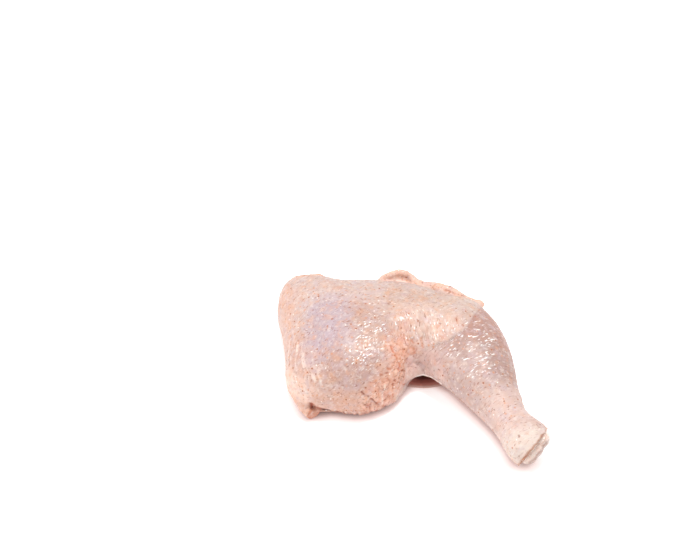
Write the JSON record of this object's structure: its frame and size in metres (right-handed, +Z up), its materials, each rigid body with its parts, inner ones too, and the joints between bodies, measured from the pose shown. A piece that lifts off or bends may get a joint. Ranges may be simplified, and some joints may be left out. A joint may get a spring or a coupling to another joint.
{
  "type": "raw chicken leg quarter",
  "caption": "Raw skin-on chicken thigh and drumstick in one piece, lying skin side up, with the capped bone end showing at the cut hock.",
  "frame": {"origin": "middle of the box's footprint, on the surface that the leg lies on", "axes": "+Z up from that surface, +X from the hip end to the drumstick's side, +Y to the back of the thigh"},
  "size_m": [0.1454, 0.1354, 0.042],
  "materials": {
    "skin": "wet, translucent raw poultry skin",
    "bone_end": "wet cartilage over bone"
  },
  "bodies": {
    "root": {"leg_quarter": "skin", "shank_bone": "bone_end"}
  },
  "joints": []
}
